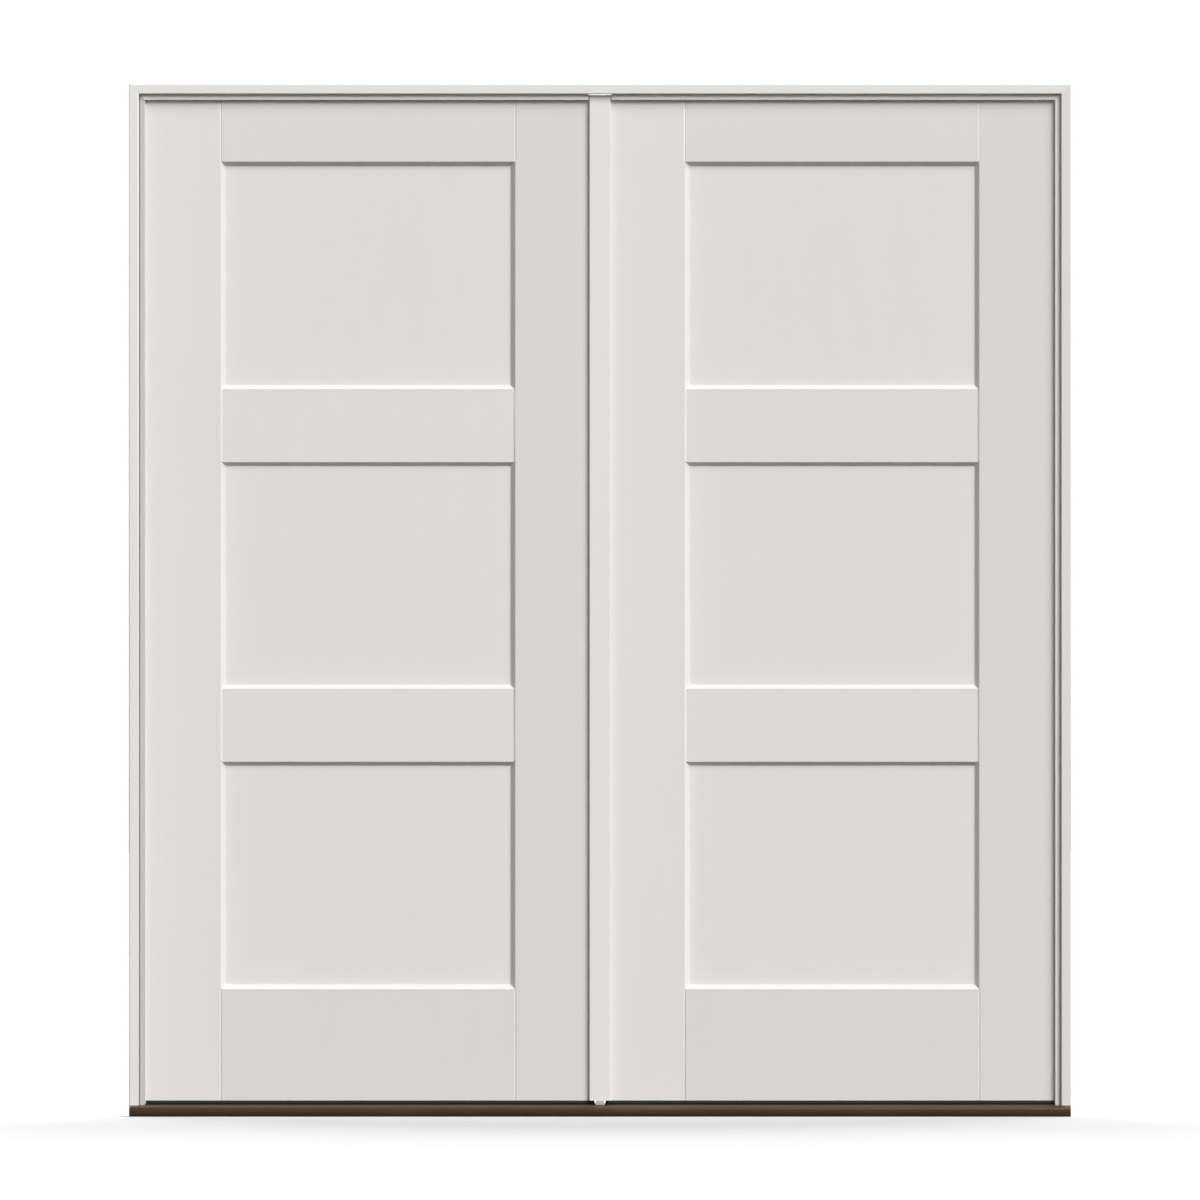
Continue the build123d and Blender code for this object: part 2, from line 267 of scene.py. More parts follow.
@dataclass(frozen=True)
class Finish:
    """What all finishes share.

    Attributes:
        name: The material's name.
        colour: Its base colour, which is linear.
        roughness: Its base roughness, to which the patterns add.
    """

    name: str
    colour: Colour
    roughness: float = 0.5

    def build(self) -> bpy.types.Material:
        """Make the material.

        Returns:
            The material.
        """
        material = bpy.data.materials.new(self.name)
        material.use_nodes = True
        self.dress(Graph(material.node_tree))
        return material

    def dress(self, graph: Graph) -> None:
        """Add the finish's own nodes."""
        raise NotImplementedError


@dataclass(frozen=True)
class PaintedTimber(Finish):
    """Primer rolled on timber, through which the grain shows a little, with painted light and shade on the
    stop.

    Attributes:
        run: The way of the grain.
        stop_front: The Y behind which the stop and the groove beside it get painted light and shade.
        stop_back: The Y where that ends.
        painted_light_tone: The factor of that painted light and shade: under 1 it is painted shade, over 1
            painted light.
    """

    run: Run = Run.UPRIGHT
    stop_front: float = -0.0225
    stop_back: float = -0.0150
    painted_light_tone: float = 1.2
    roughness: float = 0.42

    def dress(self, graph: Graph) -> None:
        """Grain along the run, roller stipple, slightly uneven paint and painted light and shade on the
        stop.

        Args:
            graph: The material\'s nodes.
        """
        grain = graph.noise(graph.place(self.run.stretch(3.0, 140.0)), 1.0, 4.0)
        stipple = graph.noise(graph.place(), 900.0, 2.0)
        cloud = graph.noise(graph.place(self.run.stretch(2.0, 9.0)), 1.0, 2.0)
        tone = 0.982 + cloud * 0.024 + grain * 0.012
        # Painted light and shade on the stop and in the groove beside it, scaled by one factor.
        depth = graph.axis("Y")
        stop = (depth > self.stop_front) * (depth < self.stop_back)
        tone = tone * (1.0 + stop * (self.painted_light_tone - 1.0))
        height = grain * 0.7 + stipple * 0.3
        graph.surface({
            "Base Color": graph.shaded(self.colour, tone),
            "Roughness": self.roughness + stipple * 0.08,
            "Specular IOR Level": 0.2,
            "Normal": graph.relief(height, 0.00012, 0.35),
        })


@dataclass(frozen=True)
class MouldedSkin(Finish):
    """A pressed fibreglass face, with painted light and shade by member: the left stile lighter, the right
    stile and the rails darker.

    Attributes:
        middle: The X of the leaf's middle.
        half_panel: Half the width of its panels.
        panel_foot: The foot of the lowest panel.
        panel_head: The head of the highest panel.
        left_light_tone: Painted light on the left stile, as a factor, where 1 is that of the panels and
            middle rails.
        right_shade_tone: Painted shade on the right stile.
        top_shade_tone: Painted shade on the top rail.
        bottom_shade_tone: Painted shade on the bottom rail.
    """

    middle: float = 0.0
    half_panel: float = 0.294
    panel_foot: float = 0.253
    panel_head: float = 1.905
    roughness: float = 0.46
    left_light_tone: float = 1.010
    right_shade_tone: float = 0.955
    top_shade_tone: float = 0.975
    bottom_shade_tone: float = 0.950

    def dress(self, graph: Graph) -> None:
        """Painted light and shade for each member, faint upright mottling and a fine even tooth.

        Args:
            graph: The material\'s nodes.
        """
        x = graph.axis("X")
        z = graph.axis("Z")
        left = x < self.middle - self.half_panel
        right = x > self.middle + self.half_panel
        between = 1.0 - left - right
        top = (z > self.panel_head) * between
        bottom = (z < self.panel_foot) * between
        # Painted light and shade by member: the left stile lighter, the right stile and the rails darker.
        members = 1.0 + left * (self.left_light_tone - 1) + right * (self.right_shade_tone - 1)
        members = members + top * (self.top_shade_tone - 1) + bottom * (self.bottom_shade_tone - 1)
        mottle = graph.noise(graph.place((26.0, 26.0, 5.0)), 1.0, 4.0)
        cloud = graph.noise(graph.place((3.0, 3.0, 1.2)), 1.0, 2.0)
        tooth = graph.noise(graph.place(), 1400.0, 2.0)
        swell = graph.noise(graph.place((60.0, 60.0, 14.0)), 1.0, 3.0)
        tone = members * (0.984 + mottle * 0.016 + cloud * 0.016)
        graph.surface({
            "Base Color": graph.shaded(self.colour, tone),
            "Roughness": self.roughness + mottle * 0.06,
            "Specular IOR Level": 0.2,
            "Normal": graph.relief(swell * 0.75 + tooth * 0.25, 0.00008, 0.3),
        })


@dataclass(frozen=True)
class Enamel(Finish):
    """Baked enamel on an extrusion, with its faint die lines."""

    roughness: float = 0.34

    def dress(self, graph: Graph) -> None:
        """Die lines along the extrusion and a fine orange peel.

        Args:
            graph: The material\'s nodes.
        """
        lines = graph.noise(graph.place((420.0, 420.0, 0.8)), 1.0, 2.0)
        peel = graph.noise(graph.place(), 520.0, 2.0)
        graph.surface({
            "Base Color": graph.shaded(self.colour, 0.99 + lines * 0.02),
            "Roughness": self.roughness + peel * 0.06,
            "Specular IOR Level": 0.3,
            "Normal": graph.relief(lines * 0.5 + peel * 0.5, 0.00005, 0.3),
        })


@dataclass(frozen=True)
class BareTimber(Finish):
    """Laminated timber with its growth rings and pores.

    Attributes:
        dark: The colour of the rings and pores.
        run: The way of the grain.
    """

    dark: Colour = (0.30, 0.17, 0.08)
    run: Run = Run.UPRIGHT
    roughness: float = 0.62

    def dress(self, graph: Graph) -> None:
        """Wandering rings along the run, and thin pores.

        Args:
            graph: The material\'s nodes.
        """
        place = graph.place(self.run.stretch(0.7, 10.0))
        wander = graph.noise(place, 1.4, 3.0)
        rings = graph.ramp(graph.node(
            "ShaderNodeTexWave", {"wave_type": "BANDS", "bands_direction": "DIAGONAL"},
            {"Vector": place, "Scale": 5.0, "Distortion": 5.0, "Detail": 3.0}, "Fac",
        ), (0.25, 0.0), (0.9, 1.0))
        specks = graph.noise(graph.place(self.run.stretch(14.0, 900.0)), 1.0, 2.0)
        pores = graph.ramp(specks, (0.58, 0.0), (0.72, 1.0))
        mask = rings * 0.45 + wander * 0.25 + pores * 0.3
        graph.surface({
            "Base Color": graph.blend(mask, self.colour, self.dark),
            "Roughness": self.roughness + pores * 0.15,
            "Normal": graph.relief(1.0 - pores, 0.00015, 0.4),
        })


@dataclass(frozen=True)
class CutFoam(Finish):
    """Rigid foam with small closed cells."""

    roughness: float = 0.9

    def dress(self, graph: Graph) -> None:
        """Cells about a millimetre across, with a little yellowing.

        Args:
            graph: The material\'s nodes.
        """
        grid = {"Vector": graph.place(), "Scale": 900.0}
        cells = graph.node("ShaderNodeTexVoronoi", {}, grid, "Distance")
        cloud = graph.noise(graph.place(), 7.0, 3.0)
        graph.surface({
            "Base Color": graph.shaded(self.colour, 0.9 + cloud * 0.16),
            "Roughness": self.roughness,
            "Normal": graph.relief(cells, 0.0004, 0.6),
        })


@dataclass(frozen=True)
class BrushedMetal(Finish):
    """Plated steel with fine brushing and slightly dulled patches.

    Attributes:
        run: The way of the brushing.
    """

    run: Run = Run.UPRIGHT
    roughness: float = 0.3

    def dress(self, graph: Graph) -> None:
        """Brush lines along the run, and a cloudy gloss.

        Args:
            graph: The material\'s nodes.
        """
        brush = graph.noise(graph.place(self.run.stretch(18.0, 1900.0)), 1.0, 2.0)
        cloud = graph.noise(graph.place(), 38.0, 3.0)
        graph.surface({
            "Base Color": graph.shaded(self.colour, 0.94 + brush * 0.09),
            "Metallic": 1.0,
            "Roughness": self.roughness + brush * 0.1 + cloud * 0.08,
            "Normal": graph.relief(brush, 0.00003, 0.4),
        })


@dataclass(frozen=True)
class Bronze(Finish):
    """Dark anodised aluminium, rubbed a little lighter along the deck, with painted shade darkening it
    towards its foot.

    Attributes:
        rubbed: The colour of the rubbed streaks.
        foot: The height up to which the nose gets painted shade.
        foot_shade_tone: The factor of that painted shade on the floor.
    """

    rubbed: Colour = (0.12, 0.09, 0.065)
    foot: float = 0.015
    foot_shade_tone: float = 0.2
    roughness: float = 0.4

    def dress(self, graph: Graph) -> None:
        """Extrusion lines across the doorway, rubbed streaks and painted shade towards the foot.

        Args:
            graph: The material\'s nodes.
        """
        lines = graph.noise(graph.place((1.2, 700.0, 700.0)), 1.0, 2.0)
        rub = graph.ramp(graph.noise(graph.place((6.0, 45.0, 45.0)), 1.0, 4.0), (0.5, 0.0), (0.82, 1.0))
        # Painted shade: the colour darkens towards the foot of the nose.
        painted_foot_shade = graph.ramp(graph.axis("Z") * (1 / self.foot), (0.0, self.foot_shade_tone), (1.0, 1.0))
        graph.surface({
            "Base Color": graph.shaded(graph.blend(rub * 0.35, self.colour, self.rubbed), painted_foot_shade),
            "Metallic": 0.4,
            "Specular IOR Level": 0.1,
            "Roughness": self.roughness + lines * 0.12 + rub * 0.06,
            "Normal": graph.relief(lines, 0.00004, 0.4),
        })


@dataclass(frozen=True)
class Moulding(Finish):
    """Moulded plastic or rubber with an even tooth.

    Attributes:
        tooth: The size of the tooth's grains as a noise scale.
        depth: Its depth in metres.
    """

    tooth: float = 1100.0
    depth: float = 0.00006
    roughness: float = 0.6

    def dress(self, graph: Graph) -> None:
        """An even tooth and a faint cloud in the colour.

        Args:
            graph: The material\'s nodes.
        """
        tooth = graph.noise(graph.place(), self.tooth, 2.0)
        cloud = graph.noise(graph.place(), 14.0, 3.0)
        graph.surface({
            "Base Color": graph.shaded(self.colour, 0.92 + cloud * 0.14),
            "Roughness": self.roughness + tooth * 0.1,
            "Specular IOR Level": 0.25,
            "Normal": graph.relief(tooth, self.depth, 0.5),
        })


class Palette:
    """Every finish on the door, made once each.

    Attributes:
        timber: The colour of bare timber.
        nickel: The colour of satin nickel.
        zinc: The colour of zinc plate.
        made: The materials by name.
    """

    timber = (0.62, 0.46, 0.29)
    nickel = (0.43, 0.41, 0.38)
    zinc = (0.48, 0.48, 0.47)

    def __init__(self) -> None:
        """Build every material."""
        off_white = paint(228, 224, 220)
        leaf = paint(222, 218, 214)
        low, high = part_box("active_exterior_skin")
        centre = (low.x + high.x) / 2
        finishes = [
            # The left jamb's stop and groove get painted shade. The right jamb is painted in a darker copy
            # of the primer as painted shade. The stops of the right jamb and the head get painted light.
            PaintedTimber("primer_left", off_white, painted_light_tone=0.64),
            PaintedTimber("primer_right_shaded", paint(220, 216, 212)),
            PaintedTimber("primer_across", off_white, run=Run.ACROSS),
            MouldedSkin("active_skin_face", leaf, middle=centre),
            MouldedSkin("passive_skin_face", leaf, middle=-centre),
            Enamel("astragal_enamel", paint(227, 223, 219)),
            BareTimber("stile_timber", self.timber, run=Run.UPRIGHT),
            BareTimber("rail_timber", self.timber, run=Run.ACROSS),
            CutFoam("core_foam", (0.80, 0.74, 0.55)),
            BrushedMetal("satin_nickel", self.nickel),
            BrushedMetal("nickel_strike", self.nickel, run=Run.ACROSS),
            BrushedMetal("zinc_plate", self.zinc, roughness=0.26),
            Moulding("seal_skin", paint(215, 211, 206), tooth=700.0),
            Moulding("sweep_vinyl", (0.018, 0.018, 0.017), roughness=0.5),
            Moulding("pad_foam_skin", (0.035, 0.034, 0.033), roughness=0.9, tooth=600.0, depth=0.0002),
            Moulding("grey_rubber", paint(180, 177, 174)),
            Moulding("substrate_composite", (0.07, 0.055, 0.045), roughness=0.8, tooth=300.0, depth=0.0002),
            Moulding("cap_composite", (0.022, 0.019, 0.015), roughness=0.5),
            Bronze("bronze_anodising", (0.064, 0.038, 0.020)),
        ]
        self.made = {finish.name: finish.build() for finish in finishes}

    def for_node(self, node: str, slot: str) -> bpy.types.Material:
        """Choose the material of a CAD node.

        Args:
            node: The node's name.
            slot: Its material slot in the record.

        Returns:
            The material.
        """
        primers = {"jamb_left": "primer_left", "jamb_right": "primer_right_shaded"}
        names = {
            "frame_paint": primers.get(node, "primer_across"),
            "leaf_skin": "active_skin_face" if node.startswith("active") else "passive_skin_face",
            "astragal_paint": "astragal_enamel",
            "core_wood": "rail_timber" if node.endswith("_rail") else "stile_timber",
            "foam": "core_foam",
            "hinge_steel": "satin_nickel",
            "bolt_steel": "zinc_plate",
            "strike_plate": "nickel_strike",
            "seal_foam": "seal_skin",
            "black_vinyl": "sweep_vinyl",
            "pad_foam": "pad_foam_skin",
            "grey_block": "grey_rubber",
            "sill_composite": "substrate_composite",
            "bronze_sill": "bronze_anodising",
            "dark_cap": "cap_composite",
        }
        return self.made[names[slot]]


# Modelling

@dataclass
class Bench:
    """Modelling by operators on one mesh at a time.

    Attributes:
        weld: The distance under which the corners of a CAD mesh are one corner.
        flat_angle: The angle in degrees under which its faces lie in one plane.
        sharp_angle: The angle in degrees over which an edge is softened.
        steps: The steps round a softened edge.
    """

    weld: float = 0.000002
    flat_angle: float = 0.5
    sharp_angle: float = 25.0
    steps: int = 2

    @staticmethod
    def only_none() -> None:
        """Select nothing at all."""
        for other in bpy.context.scene.objects:
            other.select_set(False)

    def only(self, piece: bpy.types.Object) -> None:
        """Select one piece alone and make it active.

        Args:
            piece: The piece.
        """
        self.only_none()
        piece.select_set(True)
        bpy.context.view_layer.objects.active = piece

    @staticmethod
    def coat(piece: bpy.types.Object, finish: bpy.types.Material) -> None:
        """Give a piece one finish in place of any other."""
        piece.data.materials.clear()
        piece.data.materials.append(finish)

    def edit(self, piece: bpy.types.Object, select: str = "DESELECT") -> None:
        """Open a piece in edit mode with all of it selected or none.

        Args:
            piece: The piece.
            select: SELECT or DESELECT.
        """
        self.only(piece)
        bpy.ops.object.mode_set(mode="EDIT")
        bpy.ops.mesh.select_mode(type="FACE")
        bpy.ops.mesh.select_all(action=select)

    @staticmethod
    def done() -> None:
        """Leave edit mode."""
        bpy.ops.object.mode_set(mode="OBJECT")

    def pick(self, piece: bpy.types.Object, test: Callable[[bpy.types.MeshPolygon], bool]) -> None:
        """Select the faces that pass a test, in edit mode.

        Args:
            piece: The piece that is open.
            test: Says of a face whether it is wanted.
        """
        bpy.ops.mesh.select_all(action="DESELECT")
        self.done()
        for face in piece.data.polygons:
            face.select = test(face)
        bpy.ops.object.mode_set(mode="EDIT")

    def settle(self, piece: bpy.types.Object) -> None:
        """Put a piece's place, turn and scale into its mesh."""
        self.only(piece)
        bpy.ops.object.transform_apply(location=True, rotation=True, scale=True)

    def block(self, name: str, low: Point, high: Point) -> bpy.types.Object:
        """A box between two corners, ready to be shaped.

        Args:
            name: Its name.
            low: Its lowest corner.
            high: Its highest corner.

        Returns:
            The box.
        """
        self.only_none()
        middle = [(a + b) / 2 for a, b in zip(low, high)]
        size = [b - a for a, b in zip(low, high)]
        bpy.ops.mesh.primitive_cube_add(size=1, location=middle, scale=size)
        piece = bpy.context.active_object
        piece.name = name
        self.settle(piece)
        return piece

    def bevelled(self, piece: bpy.types.Object, width: float) -> None:
        """Soften the sharp edges.

        Args:
            piece: The piece.
            width: The width of the rounding in metres.
        """
        self.only(piece)
        made = piece.modifiers.new("softened", "BEVEL")
        made.width = width
        made.segments = self.steps
        made.limit_method = "ANGLE"
        made.angle_limit = math.radians(self.sharp_angle)
        made.use_clamp_overlap = True
        made.harden_normals = False
        bpy.ops.object.modifier_apply(modifier=made.name)

    def joined(self, name: str, pieces: Sequence[bpy.types.Object]) -> bpy.types.Object:
        """Join pieces into one.

        Args:
            name: The name of the whole.
            pieces: The pieces.

        Returns:
            The whole.
        """
        self.only(pieces[0])
        for piece in pieces:
            piece.select_set(True)
        bpy.ops.object.join()
        whole = bpy.context.active_object
        whole.name = name
        return whole

    def softened(self, node: str, width: float) -> bpy.types.Object:
        """A copy of a CAD node with its edges rounded, which stands for it.

        Args:
            node: The node's name.
            width: The width of the rounding in metres.

        Returns:
            The new piece, which rides where the node does.
        """
        source = frame["nodes"][node]
        body = source["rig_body"]
        piece = bpy.data.objects.new(f"{node}_dressed", source.data.copy())
        bpy.context.scene.collection.objects.link(piece)
        self.edit(piece, "SELECT")
        bpy.ops.mesh.remove_doubles(threshold=self.weld)
        bpy.ops.mesh.dissolve_limited(angle_limit=math.radians(self.flat_angle))
        self.done()
        self.bevelled(piece, width)
        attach(piece, body)
        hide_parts(node)
        return piece


class Facing(Enum):
    """The way in which a screw's head looks."""

    LEFT = (-1, 0, 0)
    RIGHT = (1, 0, 0)
    UP = (0, 0, 1)
    DOWN = (0, 0, -1)


@dataclass
class ScrewKit:
    """Countersunk screws with a cross recess, modelled once and copied.

    Attributes:
        bench: The bench to model on.
        sides: The sides of the head's outline.
        depth: The depth of the head's cone.
        crown: How far the head stands proud.
        slot_width: The width of a slot of the cross.
        end_normal: The least share of a face's normal along the axis for it to be an end of the head.
        foot_share: The radius of the cone's foot, as a share of the head's.
        rim_share: The width of the rim round the crown, as a share of the radius.
        slot_share: The reach of a slot, as a share of the radius.
        floor_share: The depth of a slot, as a share of the cone's.
        first_turn: The turn of the first head in degrees.
        next_turn: How much further each next head is turned.
    """

    bench: Bench
    sides: int = 24
    depth: float = 2.2 * MM
    crown: float = 0.18 * MM
    slot_width: float = 0.95 * MM
    end_normal: float = 0.9
    foot_share: float = 0.5
    rim_share: float = 0.16
    slot_share: float = 0.56
    floor_share: float = 0.62
    first_turn: float = 17.0
    next_turn: float = 41.0

    def head(self, radius: float) -> bpy.types.Object:
        """Model one head at the origin, which looks up.

        Args:
            radius: The head's radius.

        Returns:
            The head.
        """
        self.bench.only_none()
        bpy.ops.mesh.primitive_cylinder_add(
            vertices=self.sides, radius=radius, depth=self.depth, location=(0, 0, -self.depth / 2)
        )
        piece = bpy.context.active_object
        self.bench.settle(piece)
        self.bench.edit(piece)
        self.bench.pick(piece, lambda face: face.normal.z < -self.end_normal)
        foot = (self.foot_share, self.foot_share, 1.0)
        bpy.ops.transform.resize(value=foot, center_override=(0, 0, -self.depth))
        self.bench.pick(piece, lambda face: face.normal.z > self.end_normal)
        bpy.ops.mesh.inset(thickness=self.rim_share * radius)
        bpy.ops.transform.translate(value=(0, 0, self.crown))
        self.bench.done()
        self.cross(piece, radius)
        return piece

    def cross(self, piece: bpy.types.Object, radius: float) -> None:
        """Cut the cross recess into a head.

        Args:
            piece: The head.
            radius: The head's radius.
        """
        reach = self.slot_share * radius
        half = self.slot_width / 2
        floor = -self.floor_share * self.depth
        cutters = [
            self.bench.block("slot", (-reach, -half, floor), (reach, half, self.depth)),
            self.bench.block("slot", (-half, -reach, floor), (half, reach, self.depth)),
        ]
        for cutter in cutters:
            self.bench.only(piece)
            cut = piece.modifiers.new("recess", "BOOLEAN")
            cut.operation = "DIFFERENCE"
            cut.solver = "EXACT"
            cut.object = cutter
            bpy.ops.object.modifier_apply(modifier=cut.name)
            bpy.data.objects.remove(cutter)

    def row(
        self, name: str, body: str, finish: bpy.types.Material, slot: str,
        places: Sequence[Point], facing: Facing, radius: float = 4.1 * MM,
    ) -> None:
        """A group of screws that face one way.

        Args:
            name: The group's name.
            body: The body that it rides on.
            finish: Its material.
            slot: Its material slot in the record; not used.
            places: Where the heads meet their surface.
            facing: The way in which they look.
            radius: The head's radius.
        """
        model = self.head(radius)
        normal = Vector(facing.value)
        heads = []
        for number, place in enumerate(places):
            copy = bpy.data.objects.new("head", model.data.copy())
            bpy.context.scene.collection.objects.link(copy)
            turn = normal.to_track_quat("Z", "Y").to_matrix().to_4x4()
            twist = Matrix.Rotation(math.radians(self.first_turn + self.next_turn * number), 4, "Z")
            copy.matrix_world = Matrix.Translation(place) @ turn @ twist
            self.bench.settle(copy)
            heads.append(copy)
        bpy.data.objects.remove(model)
        group = self.bench.joined(name, heads)
        self.bench.coat(group, finish)
        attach(group, body)
        log.info("%s: %d screws", name, len(places))


@dataclass
class Carried:
    """The CAD nodes: each gets its finish, and those with long straight edges are softened.

    Attributes:
        bench: The bench to model on.
        palette: The finishes.
        roundings: The rounding of the edges, by a word in the node's name.
    """

    bench: Bench
    palette: Palette
    roundings: dict[str, float] = field(default_factory=lambda: {
        "exterior_skin": 0.7 * MM,
        "interior_skin": 0.7 * MM,
        "threshold_cap": 0.5 * MM,
        "sill_deck": 0.3 * MM,
        "sill_substrate": 0.4 * MM,
        "head_jamb": 0.4 * MM,
        "jamb_left": 0.4 * MM,
        "jamb_right": 0.4 * MM,
        "hinge_stile": 0.5 * MM,
        "lock_stile": 0.5 * MM,
        "_rail": 0.4 * MM,
        "seal_block": 0.8 * MM,
        "corner_pads": 1.0 * MM,
        "strike": 0.25 * MM,
        "_plate": 0.3 * MM,
        "flush_bolt": 0.3 * MM,
        "bottom_sweep": 0.25 * MM,
    })

    def build(self) -> None:
        """Dress every node."""
        slots = {part["node"]: part["material_slot"] for part in frame["record"]["subparts"]}
        for node, slot in slots.items():
            finish = self.palette.for_node(node, slot)
            piece = frame["nodes"][node]
            width = self.rounding(node)
            if width:
                piece = self.bench.softened(node, width)
            self.bench.coat(piece, finish)
            log.info("%s: %s", piece.name, finish.name)

    def rounding(self, node: str) -> float:
        """The rounding that a node gets, or 0."""
        return next((width for word, width in self.roundings.items() if word in node), 0.0)


@dataclass
class HingeScrews:
    """The screws that hold the six hinges to the jambs and the leaves.

    Attributes:
        kit: The screws.
        palette: The finishes.
        per_plate: The screws of a plate, in two staggered columns.
        from_ends: The distance of the outer screws from the plate's ends.
        near_row: The distance of the first column from the plate's front edge.
        far_row: The distance of the second.
        jamb_face: The distance from the middle at which the heads of the jamb plates sit.
        leaf_face: The same for the leaf plates.
    """

    kit: ScrewKit
    palette: Palette
    per_plate: int = 4
    from_ends: float = 12.0 * MM
    near_row: float = 11.0 * MM
    far_row: float = 24.0 * MM
    jamb_face: float = 0.920
    leaf_face: float = 0.917

    def build(self) -> None:
        """Set the screws of every plate."""
        hands = (
            ("left", -1, "passive_leaf", Facing.RIGHT, Facing.LEFT),
            ("right", 1, "active_leaf", Facing.LEFT, Facing.RIGHT),
        )
        for side, sign, leaf, inward, outward in hands:
            for number in (1, 2, 3):
                hinge = f"{side}_hinge_{number}"
                self.plate(hinge, "jamb", sign * self.jamb_face, "frame", inward)
                self.plate(hinge, "leaf", sign * self.leaf_face, leaf, outward)

    def plate(self, hinge: str, part: str, x: float, body: str, facing: Facing) -> None:
        """Set the screws of one plate.

        Args:
            hinge: The hinge's name.
            part: Which of its two plates, jamb or leaf.
            x: The X at which the heads sit.
            body: The body that they ride on.
            facing: The way in which they look.
        """
        low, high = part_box(f"{hinge}_jamb_plate")
        foot = low.z + self.from_ends
        span = high.z - low.z - 2 * self.from_ends
        gaps = self.per_plate - 1
        rows = (self.near_row, self.far_row) * (self.per_plate // 2)
        places = [(x, low.y + row, foot + step * span / gaps) for step, row in enumerate(rows)]
        nickel = self.palette.made["satin_nickel"]
        self.kit.row(f"{hinge}_{part}_screws", body, nickel, "hinge_steel", places, facing)


@dataclass
class SillDetails:
    """The fine ribs on the deck, and the screws that raise and lower the cap.

    Attributes:
        bench: The bench to model on.
        kit: The screws.
        palette: The finishes.
        rib_count: How many ribs there are.
        rib_width: The width of a rib.
        rib_height: How far a rib stands proud.
        rib_root: How far a rib reaches into the deck.
        rib_rounding: The rounding of its edges.
        deck_rise: How much the deck rises over the ribbed part, from front to back.
        screw_count: How many screws the cap has.
        screw_reach: The share of the cap's length that the row of screws spans.
        screw_radius: The radius of a head.
    """

    bench: Bench
    kit: ScrewKit
    palette: Palette
    rib_count: int = 6
    rib_width: float = 1.6 * MM
    rib_height: float = 0.6 * MM
    rib_root: float = 0.4 * MM
    rib_rounding: float = 0.3 * MM
    deck_rise: float = 1.0 * MM
    screw_count: int = 6
    screw_reach: float = 0.86
    screw_radius: float = 4.6 * MM

    def build(self) -> None:
        """Add the ribs and the screws."""
        deck_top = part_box("sill_deck")[1].z
        cap_low, cap_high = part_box("threshold_cap")
        jamb_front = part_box("jamb_right")[0].y
        inner = abs(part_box("jamb_left")[1].x)
        self.ribs(inner, jamb_front, cap_low.y, deck_top)
        reach = self.screw_reach * cap_high.x
        step = 2 * reach / (self.screw_count - 1)
        y = (cap_low.y + cap_high.y) / 2
        places = [(step * index - reach, y, cap_high.z) for index in range(self.screw_count)]
        zinc = self.palette.made["zinc_plate"]
        self.kit.row(
            "cap_height_screws", "frame", zinc, "bolt_steel", places, Facing.UP, self.screw_radius
        )

    def ribs(self, half: float, front: float, back: float, top: float) -> None:
        """Raise thin ribs on the deck between the jambs.

        Args:
            half: Half the length of a rib.
            front: The Y where the ribbed part starts.
            back: The Y where it ends.
            top: The deck's height there.
        """
        pitch = (back - front) / (self.rib_count + 1)
        slope = self.deck_rise / (back - front)
        ribs = []
        for index in range(1, self.rib_count + 1):
            y = front + index * pitch
            level = top - slope * (back - y)
            low = (-half, y - self.rib_width / 2, level - self.rib_root)
            high = (half, y + self.rib_width / 2, level + self.rib_height)
            rib = self.bench.block("rib", low, high)
            self.bench.bevelled(rib, self.rib_rounding)
            ribs.append(rib)
        group = self.bench.joined("sill_deck_ribs", ribs)
        self.bench.coat(group, self.palette.made["bronze_anodising"])
        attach(group, "frame")
        log.info("sill_deck_ribs: %d ribs", len(ribs))


@dataclass
class MeetingScrews:
    """The screws of the strikes and of the astragal.

    Attributes:
        kit: The screws.
        palette: The finishes.
        strike_inset: The distance of a strike's screws from its ends.
        strike_radius: The radius of their heads.
        astragal_count: How many screws the astragal has.
        astragal_end: The distance of the outer ones from its ends.
        stem_face: The X at which their heads sit on its stem.
        stem_inset: Their distance from the stem's back.
        stem_radius: The radius of their heads.
    """

    kit: ScrewKit
    palette: Palette
    strike_inset: float = 7.0 * MM
    strike_radius: float = 2.9 * MM
    astragal_count: int = 6
    astragal_end: float = 0.30
    stem_face: float = 5.0 * MM
    stem_inset: float = 6.0 * MM
    stem_radius: float = 3.1 * MM

    def build(self) -> None:
        """Screw both strikes and the astragal's stem."""
        nickel = self.palette.made["satin_nickel"]
        for name, facing in (("head_strike", Facing.DOWN), ("sill_strike", Facing.UP)):
            low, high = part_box(name)
            z = low.z if facing is Facing.DOWN else high.z
            y = (low.y + high.y) / 2
            places = [(low.x + self.strike_inset, y, z), (high.x - self.strike_inset, y, z)]
            self.kit.row(
                f"{name}_screws", "frame", nickel, "strike_plate", places, facing, self.strike_radius
            )
        low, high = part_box("astragal")
        span = (high.z - low.z - 2 * self.astragal_end) / (self.astragal_count - 1)
        y = high.y - self.stem_inset
        foot = low.z + self.astragal_end
        places = [(self.stem_face, y, foot + step * span) for step in range(self.astragal_count)]
        self.kit.row(
            "astragal_screws", "passive_leaf", nickel, "hinge_steel", places, Facing.RIGHT, self.stem_radius
        )


@dataclass(frozen=True)
class Lamp:
    """A soft light from far away.

    Attributes:
        name: Its name.
        way: The way to it from the door.
        level: Its strength.
        spread: Its apparent size in degrees, which softens its shadows.
    """

    name: str
    way: Point
    level: float
    spread: float

    def hang(self) -> None:
        """Put the lamp in the scene."""
        lamp = bpy.data.lights.new(self.name, "SUN")
        lamp.energy = self.level
        lamp.angle = math.radians(self.spread)
        holder = bpy.data.objects.new(self.name, lamp)
        bpy.context.scene.collection.objects.link(holder)
        holder.rotation_euler = Vector(self.way).to_track_quat("Z", "Y").to_euler()


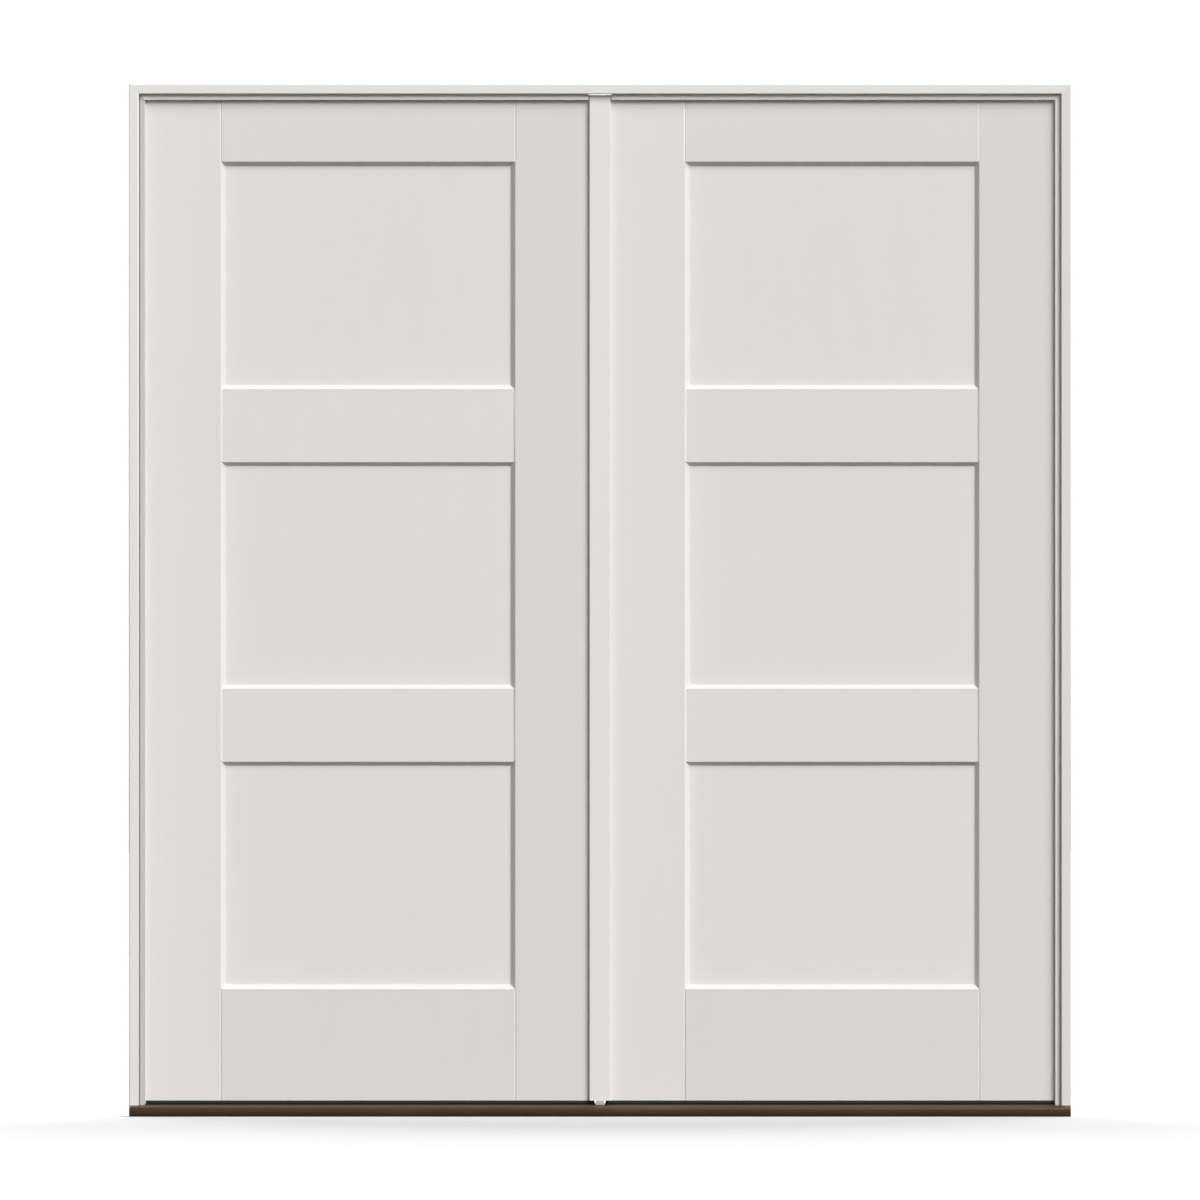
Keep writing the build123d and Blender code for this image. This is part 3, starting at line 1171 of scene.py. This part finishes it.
@dataclass
class Studio:
    """The floor, the white surroundings, the lights and the camera.

    Attributes:
        metres_per_pixel: The photograph's scale.
        pixels: The side of the photograph.
        sill_row: The row of the photograph where the sill ends.
        tilt: How far the camera looks down, in degrees, so that the floor's shadow shows.
        distance: How far the camera stands off.
        far_clip: How far the camera sees.
        floor_size: The side of the floor.
        floor_drop: How far the floor lies below the sill.
        floor_albedo: How pale the floor looks.
        floor_glow: What brings the open floor up to white.
        floor_bounce: How pale it is to the light that it throws back at the door.
        hidden_glow: What is added to the glow behind the door, where the floor keeps no shadow.
        sky_rise: How much stronger the surroundings are straight up than level.
        sky_base: Their strength on the level.
        sky_least: Their least strength.
        rear_rise: What is added straight behind the door.
        lamps: The lights.
    """

    metres_per_pixel: float = 0.0019956
    pixels: int = 1200
    sill_row: float = 1116.5
    tilt: float = 1.0
    distance: float = 8.0
    far_clip: float = 100.0
    floor_size: float = 60.0
    floor_drop: float = 0.5 * MM
    floor_albedo: float = 0.63
    floor_glow: float = 0.10
    floor_bounce: float = 0.03
    hidden_glow: float = 0.90
    sky_rise: float = 0.12
    sky_base: float = 0.06
    sky_least: float = 0.02
    rear_rise: float = 0.4
    lamps: tuple[Lamp, ...] = (
        Lamp("key_light", (0.460, -0.655, 0.600), 3.78, 38.0),
        Lamp("front_fill", (0.0, -1.0, 0.05), 0.55, 60.0),
        Lamp("back_light", (0.0, 0.78, 0.62), 2.6, 50.0),
    )

    def build(self) -> None:
        """Set the stage."""
        scene = bpy.context.scene
        scene.view_settings.view_transform = "Standard"
        self.surroundings(scene)
        self.floor()
        for lamp in self.lamps:
            lamp.hang()
        self.camera(scene)

    def camera(self, scene: bpy.types.Scene) -> None:
        """Look straight at the front, from a hair above.

        Args:
            scene: The scene.
        """
        angle = math.radians(self.tilt)
        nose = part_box("sill_deck")[0]
        below = (self.sill_row - self.pixels / 2) * self.metres_per_pixel
        height = (below + nose.y * math.sin(angle)) / math.cos(angle)
        lens = bpy.data.cameras.new("front_camera")
        lens.type = "ORTHO"
        lens.ortho_scale = self.pixels * self.metres_per_pixel
        lens.clip_end = self.far_clip
        eye = bpy.data.objects.new("front_camera", lens)
        scene.collection.objects.link(eye)
        eye.location = (0, -self.distance * math.cos(angle), height + self.distance * math.sin(angle))
        eye.rotation_euler = (math.pi / 2 - angle, 0, 0)
        scene.camera = eye

    def surroundings(self, scene: bpy.types.Scene) -> None:
        """A world that looks white, and lights the door softly from above and behind.

        Args:
            scene: The scene.
        """
        world = bpy.data.worlds.new("surroundings")
        scene.world = world
        world.use_nodes = True
        graph = Graph(world.node_tree)
        direction = graph.node("ShaderNodeTexCoord", {}, {}, "Generated")
        up = graph.node("ShaderNodeSeparateXYZ", {}, {"Vector": direction}, "Z")
        inward = graph.node("ShaderNodeSeparateXYZ", {}, {"Vector": direction}, "Y")
        level = graph.most(up * self.sky_rise + self.sky_base, self.sky_least)
        level = level + graph.most(inward * self.rear_rise, 0.0)
        seen = graph.shown()
        white = graph.node("ShaderNodeBackground", {}, {"Color": (1, 1, 1), "Strength": 1.0})
        soft = graph.node("ShaderNodeBackground", {}, {"Color": (1, 1, 1), "Strength": level})
        mixed = graph.node("ShaderNodeMixShader", {}, {0: seen, 1: soft, 2: white})
        output = graph.tree.nodes.new("ShaderNodeOutputWorld")
        graph.feed(output.inputs["Surface"], mixed)

    def floor(self) -> None:
        """A pale floor that keeps the shadow and throws little light back up."""
        bpy.ops.mesh.primitive_plane_add(size=self.floor_size, location=(0, 0, -self.floor_drop))
        floor = bpy.context.active_object
        floor.name = "floor"
        material = bpy.data.materials.new("floor_paper")
        material.use_nodes = True
        graph = Graph(material.node_tree)
        seen = graph.shown()
        colour = graph.blend(seen, (self.floor_bounce,) * 3, (self.floor_albedo,) * 3)
        hidden = graph.axis("Y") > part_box("jamb_left")[1].y
        glow = seen * (self.floor_glow + hidden * self.hidden_glow)
        graph.surface({
            "Base Color": colour,
            "Roughness": 0.9,
            "Specular IOR Level": 0.0,
            "Emission Color": glow,
            "Emission Strength": 1.0,
        })
        floor.data.materials.append(material)


def main() -> None:
    """Dress the door, piece by piece, and set the stage."""
    logging.basicConfig(level=logging.INFO, format="%(message)s")
    palette = Palette()
    bench = Bench()
    kit = ScrewKit(bench)
    Carried(bench, palette).build()
    HingeScrews(kit, palette).build()
    SillDetails(bench, kit, palette).build()
    MeetingScrews(kit, palette).build()
    Studio().build()


if __name__ == "__main__":
    main()
